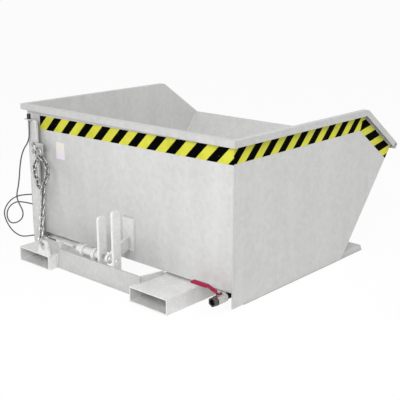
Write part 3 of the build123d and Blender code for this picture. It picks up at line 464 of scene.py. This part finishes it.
paint = dict(rough=(0.3, 0.45), cloud=60.0, grain=900.0, depth=0.0003, shine=0.15)
dip = dict(rough=(0.35, 0.5), cloud=50.0, grain=1500.0, depth=0.0002, shine=0.15)
skin = dict(rough=(0.4, 0.55), cloud=40.0, grain=1500.0, depth=0.0001)
mould = dict(rough=(0.2, 0.35), cloud=60.0, grain=1200.0, depth=0.0001)
seal = dict(rough=(0.4, 0.5), cloud=60.0, grain=900.0, depth=0.0001)
bush = dict(rough=(0.3, 0.45), cloud=120.0, grain=700.0, depth=0.0002, metallic=1.0)

lever_paint = coat("lever_paint", (0.24, 0.006, 0.032), (0.34, 0.010, 0.048), **paint)
grip_skin = coat("grip_skin", (0.26, 0.005, 0.038), (0.36, 0.008, 0.056), **dip)
cable_skin = coat("cable_skin", (0.06, 0.06, 0.065), (0.10, 0.10, 0.105), **skin)
knob_black = coat("knob_black", (0.008, 0.008, 0.009), (0.018, 0.018, 0.02), **mould)
seat_white = coat("seat_white", (0.72, 0.72, 0.70), (0.80, 0.80, 0.78), **seal)
bronze = coat("bronze", (0.36, 0.22, 0.10), (0.48, 0.31, 0.15), **bush)
print("paint and plastic finishes made")

# %% [markdown]
# ## The label
# A bare label is stuck to the rear wall. It is off-white above and has a faint rose tint below. A
# picture could carry the tint, but it depends only on the height over the lower edge, so a range of
# heights is enough. Soft noise stands for the paper's creases.

# %% Label finish
def paper(name):
    """A bare label: the share of tint falls from 1 to 0 between two heights over the lower edge."""
    tint_full, tint_none = 0.022, 0.040
    rose = (0.76, 0.69, 0.78, 1.0)
    fibre_scale, crease_scale = 90.0, 45.0
    material, tree, shader, place = begin(name)
    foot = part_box("blank_label")[0].z
    rise = add(tree, "SeparateXYZ", {0: place}).outputs[2]
    tint = span(tree, rise, foot + tint_full, foot + tint_none, 1.0, 0.0)
    cloud = noise(tree, place, fibre_scale, 4.0)
    white = ramp(tree, cloud, [(0.3, (0.71, 0.70, 0.65)), (0.7, (0.78, 0.77, 0.71))])
    tree.links.new(mix(tree, tint, white, rose), shader.inputs["Base Color"])
    tree.links.new(span(tree, cloud, 0.3, 0.7, 0.45, 0.65), shader.inputs["Roughness"])
    bump(tree, shader, noise(tree, place, crease_scale, 2.0), 0.4, 0.0008)
    return material


label_paper = paper("label_paper")
print("label finish made")

# %% [markdown]
# ## Dress the solids
# A solid whose shape is right only needs its finish, put into its material slots. A table of finish
# and solids is shorter than a line for each, and shows at once what shares a finish.

# %% Dress the solids
dress = {
    sheet_zinc: "side_wall_left side_wall_right rear_wall floor_plate front_wall",
    shaded_rim_zinc: "rim_rear rim_left rim_right rim_lip",
    lit_tube_zinc: "fork_pocket_left fork_pocket_right",
    lit_plate_zinc: "latch_cheeks tongue_doubler catch_tongue",
    fitting_zinc: "pocket_gussets rest_pads latch_barrel barrel_lugs cable_sleeve post_foot "
    "chain_lug",
    frame_zinc: "side_rail_left side_rail_right rail_ties front_cross_bar rear_cross_plate "
    "pivot_brackets pivot_ears cable_holders chain_hook",
    post_zinc: "cable_post",
    link_zinc: "safety_chain snap_hook snap_gate",
    pin_steel: "pivot_pins pin_cotters latch_bolt pull_wire latch_spring valve_ball valve_stem "
    "lever_nut drain_sieve",
    valve_bright: "valve_body",
    valve_painted_dark: "drain_elbow valve_end_cap gland_nut",
    tape_rear: "hazard_tape_rear",
    tape_side: "hazard_tape_left hazard_tape_right",
    label_paper: "blank_label",
    lever_paint: "valve_lever",
    grip_skin: "lever_grip",
    cable_skin: "release_cable_run release_cable_coil release_cable_riser",
    knob_black: "pull_knob",
    seat_white: "valve_seats",
    bronze: "pivot_bushes",
}
dressed = []
for finish, names in dress.items():
    for name in names.split():
        nodes[name].data.materials.clear()
        nodes[name].data.materials.append(finish)
        dressed.append(name)
cable_line.materials.append(cable_skin)
print(len(dressed), "solids dressed, left out:", sorted(set(nodes) - set(dressed)))

# %% [markdown]
# ## Weld beads
# Where two plates meet, a weld bead fills the corner, with ripples that show each step of the
# torch. Relief in a finish would leave the corner's outline sharp, so the bead is a surface. Its
# two parameters are the distance along the seam and the angle round its profile. All the points
# come from whole arrays, so a metre of bead is as quick as a millimetre.

# %% From grids to pieces
def surface(points, first=0):
    """Four-sided faces over a grid whose rows close on themselves, and a face at each end: face
    i, j joins points j and j + 1 of rows i and i + 1."""
    rows, columns = points.shape[:2]
    index = np.arange(rows * columns).reshape(rows, columns) + first
    wrapped = np.concatenate([index, index[:, :1]], axis=1)
    quads = [wrapped[:-1, :-1], wrapped[:-1, 1:], wrapped[1:, 1:], wrapped[1:, :-1]]
    faces = np.stack(quads, axis=-1).reshape(-1, 4).tolist()
    return faces + [index[0][::-1].tolist(), index[-1].tolist()]


def make_piece(name, grids, body, finish, smooth=True):
    """Puts several grids into one mesh, turns the faces outwards and lets it ride on a body."""
    faces = []
    count = 0
    for grid in grids:
        faces = faces + surface(grid, count)
        count = count + grid.shape[0] * grid.shape[1]
    mesh = bpy.data.meshes.new(name)
    points = np.concatenate([grid.reshape(-1, 3) for grid in grids])
    mesh.from_pydata(points.tolist(), [], faces)
    work = bmesh.new()
    work.from_mesh(mesh)
    bmesh.ops.recalc_face_normals(work, faces=work.faces)
    work.to_mesh(mesh)
    work.free()
    mesh.polygons.foreach_set("use_smooth", np.full(len(mesh.polygons), smooth))
    mesh.materials.append(finish)
    piece = bpy.data.objects.new(name, mesh)
    bpy.context.scene.collection.objects.link(piece)
    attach(piece, body)
    print(name, "has", len(grids), "parts and", len(mesh.polygons), "faces")


print("a way to make a piece from grids made")

# %% [markdown]
# Two kinds of bead are needed: one that fills a corner, and a flat one over a butt joint. Both have
# three rows of points to each ripple, and sink a little into the plates so that no gap shows.

# %% Bead surfaces
bead_sink = 0.0006
rows_per_ripple = 3
least_rows = 6


def rows_along(length, pitch):
    """Shares of the way along a seam, from 0 to 1, with enough rows for its ripples."""
    rows = max(int(length / pitch * rows_per_ripple), least_rows)
    return np.linspace(0, 1, rows)[:, None, None]


def bead(start, end, first_way, second_way, leg=0.005, pitch=0.004):
    """A fillet bead: from the seam, a quarter round of radius leg, less a fifth in its middle. The
    radius swells by a cosine of the distance over the pitch, lags towards the middle of the
    profile, and shrinks to a quarter at the seam's ends."""
    profile_points, ripple, most_lag, hollow, end_share = 7, 0.07, 0.8, 0.2, 0.25
    start, end = np.array(start), np.array(end)
    ways = np.array([first_way, second_way], float)
    length = np.linalg.norm(end - start)
    along = rows_along(length, pitch)
    angle = np.linspace(0, np.pi / 2, profile_points)[None, :, None]
    lag = most_lag * np.sin(2 * angle)
    swell = 1 + ripple * np.cos(2 * np.pi * along * length / pitch + lag)
    ends = np.clip(np.minimum(along, 1 - along) * length / leg, 0.0, 1.0) ** 0.5
    taper = end_share + (1 - end_share) * ends
    radius = leg * (1 - hollow * np.sin(2 * angle)) * swell * taper
    spread = np.cos(angle) * ways[0] + np.sin(angle) * ways[1]
    outer = start + along * (end - start) + radius * spread
    inner = start + along * (end - start) - bead_sink * (ways[0] + ways[1])
    return np.concatenate([outer, inner], axis=1)


def strip_bead(start, end, normal, width=0.006, height=0.0010, pitch=0.004):
    """A flat bead over a butt joint: half an ellipse across, with the same ripples."""
    profile_points, ripple, most_lag = 9, 0.1, 1.2
    start, end, normal = np.array(start), np.array(end), np.array(normal, float)
    length = np.linalg.norm(end - start)
    side = np.cross(normal, (end - start) / length)
    along = rows_along(length, pitch)
    angle = np.linspace(0, np.pi, profile_points)[None, :, None]
    lag = most_lag * np.sin(angle)
    swell = 1 + ripple * np.cos(2 * np.pi * along * length / pitch + lag)
    outer = np.cos(angle) * side * width / 2 * swell + np.sin(angle) * normal * height * swell
    outer = start + along * (end - start) + outer
    inner = start + along * (end - start) - normal * bead_sink
    return np.concatenate([outer, inner], axis=1)


print("ways to make two kinds of bead made")

# %% [markdown]
# Most of the seams' places are read from the solids' boxes, so the beads follow the steel. An edge
# that no box shows has a named length. The first list is the bin itself: its inside corners, the
# joint down each rear edge, and the joints in the rim. The corner beads stop short of the drain's
# sieve, the lip and the rim.

# %% Welds of the bin
behind, ahead, up = (-1, 0, 0), (1, 0, 0), (0, 0, 1)
sheet = 0.004
front_lean = math.radians(39.5)
sieve_gap, lip_gap, rim_gap = 0.006, 0.005, 0.01
edge_top = 0.556
rim_joint = 0.421
mitre_share = 0.88

front_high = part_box("front_wall")[1]
floor_low, floor_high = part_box("floor_plate")
rim_low, rim_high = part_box("rim_rear")
sieve_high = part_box("drain_sieve")[1]
inside_x = wall_x + sheet
inside_y = floor_high.y
floor_z = floor_high.z
rim_z = rim_high.z
lip_x = front_high.x - sheet / math.cos(front_lean)
toe_x = lip_x - (front_high.z - floor_z) * math.tan(front_lean)
joint_x = wall_x + rim_joint
into_bin = (-math.cos(front_lean), 0, math.sin(front_lean))

rear_start = (inside_x, sieve_high.y + sieve_gap, floor_z)
bin_beads = [bead(rear_start, (inside_x, inside_y, floor_z), ahead, up)]
for side in (1, -1):
    y = side * inside_y
    inward, outward = (0, -side, 0), (0, side, 0)
    start_x = inside_x if side > 0 else sieve_high.x + sieve_gap
    seam = (start_x, y, floor_z), (toe_x, y, floor_z)
    bin_beads.append(bead(*seam, inward, up))
    seam = (inside_x, y, floor_z + lip_gap), (inside_x, y, rim_z - rim_gap)
    bin_beads.append(bead(*seam, ahead, inward))
    seam = (toe_x, y, floor_z), (lip_x, y, front_high.z - lip_gap)
    bin_beads.append(bead(*seam, into_bin, inward))
    edge = side * (inside_y + sheet / 2)
    bin_beads.append(strip_bead((wall_x, edge, floor_low.z), (wall_x, edge, edge_top), behind))
    wall_y, lip_y = side * (inside_y + sheet), side * rim_high.y
    corner = np.array((wall_x, wall_y, rim_z))
    mitre = mitre_share * (np.array((rim_low.x, lip_y, rim_z)) - corner)
    bin_beads.append(strip_bead(corner, corner + mitre, up))
    seam = (joint_x, lip_y, rim_low.z), (joint_x, lip_y, rim_z)
    bin_beads.append(strip_bead(*seam, outward))
    seam = (joint_x, wall_y, rim_z), (joint_x, lip_y, rim_z)
    bin_beads.append(strip_bead(*seam, up))
make_piece("bin_welds", bin_beads, "hopper", weld_zinc)

# %% [markdown]
# The ears on the front wall and the tongue at the rear carry the load when the bin tips, so they
# are welded on both sides, with a thicker bead.

# %% Welds of the ears and the tongue
heavy_leg = 0.006
ear_inner = 0.392
ear_weld_low, ear_weld_high = 0.124, 0.326
tongue_weld_low, tongue_weld_high = 0.124, 0.174
ear_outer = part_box("pivot_ears")[1].y
plate_low, plate_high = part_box("tongue_doubler")
tongue_low, tongue_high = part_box("catch_tongue")
out_of_bin = (math.cos(front_lean), 0, -math.sin(front_lean))


def front_point(z, y):
    """A point on the front wall's outer face: X is less than the lip's by the height below the lip
    times the tangent of the lean."""
    return (front_high.x - (front_high.z - z) * math.tan(front_lean), y, z)


carrier_beads = []
for side in (1, -1):
    for y, way in ((ear_inner, -1), (ear_outer, 1)):
        seam = front_point(ear_weld_low, side * y), front_point(ear_weld_high, side * y)
        carrier_beads.append(bead(*seam, out_of_bin, (0, side * way, 0), heavy_leg))
for y, edge, way in ((tongue_low.y, plate_low.y, -1), (tongue_high.y, plate_high.y, 1)):
    seam = (plate_low.x, y, tongue_weld_low), (plate_low.x, y, tongue_weld_high)
    carrier_beads.append(bead(*seam, behind, (0, way, 0), heavy_leg))
    seam = (wall_x, edge, plate_low.z), (wall_x, edge, plate_high.z)
    carrier_beads.append(bead(*seam, behind, (0, way, 0)))
for z, way in ((plate_low.z, -1), (plate_high.z, 1)):
    seam = (wall_x, plate_low.y, z), (wall_x, plate_high.y, z)
    carrier_beads.append(bead(*seam, behind, (0, 0, way)))
make_piece("carrier_welds", carrier_beads, "hopper", weld_zinc)

# %% [markdown]
# The base is welded from tube and plate: cross plate to pockets, ribs and brackets to the pockets'
# tops, cheeks to the cross plate, post to its foot, chain lug to the left pocket.

# %% Welds of the base
bracket_plates = (0.379, 0.391), (0.409, 0.421)
bracket_length = 0.08
cheek_middles = -0.007, -0.092
cheek_half = 0.006
plate_foot, plate_gap = 0.004, 0.002
pocket_low, pocket_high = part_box("fork_pocket_left")
cross_low, cross_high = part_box("rear_cross_plate")
lug_low, lug_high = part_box("chain_lug")
post_low, post_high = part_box("cable_post")
gusset_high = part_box("pocket_gussets")[1]
cheek_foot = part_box("latch_cheeks")[0].z
bracket_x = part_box("pivot_brackets")[0].x
top = pocket_high.z

base_beads = []
for side in (1, -1):
    y = side * pocket_low.y
    seam = (cross_low.x, y, plate_foot), (cross_low.x, y, top - plate_gap)
    base_beads.append(bead(*seam, behind, (0, -side, 0)))
    y = side * gusset_high.y
    seam = (cross_high.x, y, top), (gusset_high.x, y, top)
    base_beads.append(bead(*seam, (0, side, 0), up))
    for inner, outer in bracket_plates:
        for edge, way in ((inner, -side), (outer, side)):
            y = side * edge
            seam = (bracket_x, y, top), (bracket_x + bracket_length, y, top)
            base_beads.append(bead(*seam, (0, way, 0), up))
for middle in cheek_middles:
    for way in (1, -1):
        y = middle + way * cheek_half
        seam = (cross_high.x, y, cheek_foot), (cross_high.x, y, cross_high.z)
        base_beads.append(bead(*seam, ahead, (0, way, 0)))
seam = (lug_high.x, lug_low.y, top), (lug_high.x, lug_high.y, top)
base_beads.append(bead(*seam, ahead, up))
seam = (post_low.x, post_low.y, post_low.z), (post_low.x, post_high.y, post_low.z)
base_beads.append(bead(*seam, behind, up))
make_piece("base_welds", base_beads, "base_frame", weld_zinc)

# %% [markdown]
# ## Small fasteners
# The hook's plate is bolted to the post. A head could be cut from a block by six planes and a cone.
# As a profile carried round an axis it is one grid: its radius is half the width across flats over
# the cosine of the angle from the nearest flat, and a cone's radius where that is less.

# %% Bolt heads
def hex_head(centre, axis, across, flats=0.017):
    """A chamfered hexagon head on a round washer, along an axis, with across at right angles to it.
    Each ring of the profile has a height and a cone's radius, in half widths across flats, and the
    washer's two rings are round."""
    washer_rings, points_round = 2, 48
    heights = np.array([0, 0.002, 0.002, 0.0078, 0.0083, 0.0085, 0.0085])[:, None]
    cone = np.array([1.25, 1.25, 9.0, 9.0, 1.08, 0.98, 0.10])[:, None] * flats / 2
    centre, axis, across = np.array(centre), np.array(axis, float), np.array(across, float)
    other = np.cross(axis, across)
    angle = np.linspace(0, 2 * np.pi, points_round, endpoint=False)[None, :]
    from_flat = np.mod(angle + np.pi / 6, np.pi / 3) - np.pi / 6
    radius = np.minimum(flats / 2 / np.cos(from_flat), cone)
    radius[:washer_rings] = cone[:washer_rings]
    ring = np.cos(angle)[..., None] * across + np.sin(angle)[..., None] * other
    return centre + radius[..., None] * ring + heights[..., None] * axis


hook_plate = 0.008
bolt_inset = 0.015
bolt_heights = 0.451, 0.481
bolt_x, bolt_y = post_low.x - hook_plate, post_low.y + bolt_inset
heads = [hex_head((bolt_x, bolt_y, z), behind, (0, 1, 0)) for z in bolt_heights]
make_piece("hook_bolts", heads, "base_frame", link_zinc, smooth=False)

# %% [markdown]
# ## Floor and light
# The picture has a white ground. More light would make the floor white and bleach the steel too.
# Instead the floor is pale and takes the object's shadow, and what the camera and mirror-like metal
# see of it is nearly all plain white.

# %% Floor
def seen(tree):
    """1 for rays from the camera, and for mirrored and transmitted ones."""
    rays = add(tree, "LightPath").outputs
    most = maths(tree, "MAXIMUM", rays["Is Camera Ray"], rays["Is Glossy Ray"])
    return maths(tree, "MAXIMUM", most, rays["Is Transmission Ray"])


floor_reach = 60.0
white_share = 0.94
corners = np.array([(-1, -1, 0), (1, -1, 0), (1, 1, 0), (-1, 1, 0)]) * floor_reach
floor_mesh = bpy.data.meshes.new("studio_floor")
floor_mesh.from_pydata(corners.tolist(), [], [(0, 1, 2, 3)])
floor = bpy.data.objects.new("studio_floor", floor_mesh)
bpy.context.scene.collection.objects.link(floor)
floor_finish = bpy.data.materials.new("studio_floor")
floor_finish.use_nodes = True
tree = floor_finish.node_tree
tree.nodes.clear()
chalk = add(tree, "BsdfDiffuse", {"Color": (0.86, 0.86, 0.86, 1.0)})
glow = add(tree, "Emission", {"Strength": 1.0})
share = maths(tree, "MULTIPLY", seen(tree), white_share)
blend = add(tree, "MixShader", {0: share, 1: chalk.outputs[0], 2: glow.outputs[0]})
add(tree, "OutputMaterial", {"Surface": blend.outputs[0]})
floor_mesh.materials.append(floor_finish)
print("floor made,", 2 * floor_reach, "m wide")

# %% [markdown]
# The world lights the steel evenly from all round, at about half the strength of the white that
# the camera sees. One strong sun would give hard shadows, so two large soft lamps do the shading. A
# lamp is turned as the camera is, by the line from its place to its aim.

# %% World and lamps
ambient = 0.47
world = bpy.data.worlds.new("studio_world")
bpy.context.scene.world = world
world.use_nodes = True
tree = world.node_tree
tree.nodes.clear()
strength = maths(tree, "ADD", maths(tree, "MULTIPLY", seen(tree), 1.0 - ambient), ambient)
sky = add(tree, "Background", {"Color": (1.0, 1.0, 1.0, 1.0), "Strength": strength})
add(tree, "OutputWorld", {"Surface": sky.outputs[0]})


def lamp(name, place, aim, size, watts):
    """A square soft lamp at a place, turned to its aim."""
    light = bpy.data.lights.new(name, "AREA")
    light.shape = "SQUARE"
    light.size = size
    light.energy = watts
    made = bpy.data.objects.new(name, light)
    made.location = place
    made.rotation_euler = (Vector(aim) - Vector(place)).to_track_quat("-Z", "Y").to_euler()
    bpy.context.scene.collection.objects.link(made)


lamp("key_lamp", (-3.6, -1.4, 2.4), (-0.3, -0.2, 0.35), size=2.2, watts=112.0)
lamp("over_lamp", (0.2, -2.2, 3.0), (0.0, 0.6, 0.4), size=1.6, watts=32.0)
bpy.context.scene.view_settings.view_transform = "Standard"
print("world and two lamps made")
